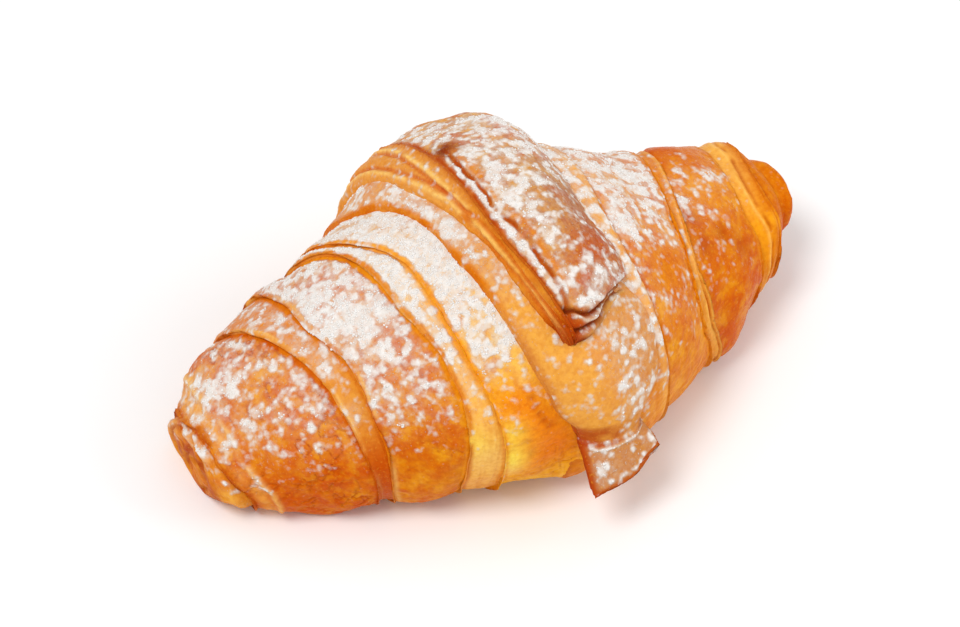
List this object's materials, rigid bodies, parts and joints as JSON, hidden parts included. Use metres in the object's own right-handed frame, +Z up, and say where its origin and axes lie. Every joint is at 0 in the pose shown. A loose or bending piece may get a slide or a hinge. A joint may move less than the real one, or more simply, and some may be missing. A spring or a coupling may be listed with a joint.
{
  "type": "croissant",
  "caption": "Baked croissant of rolled laminated dough with raised turn edges, an overlapping flap and tongue, and a flat base.",
  "frame": {"origin": "centre of the bounding box at the base, where the croissant rests", "axes": "+X along the roll to the narrow nub end, +Y away from the side that the tongue hangs off, +Z up"},
  "size_m": [0.1534, 0.0952, 0.0668],
  "materials": {
    "crust": null
  },
  "bodies": {
    "root": {"croissant": "crust"}
  },
  "joints": []
}
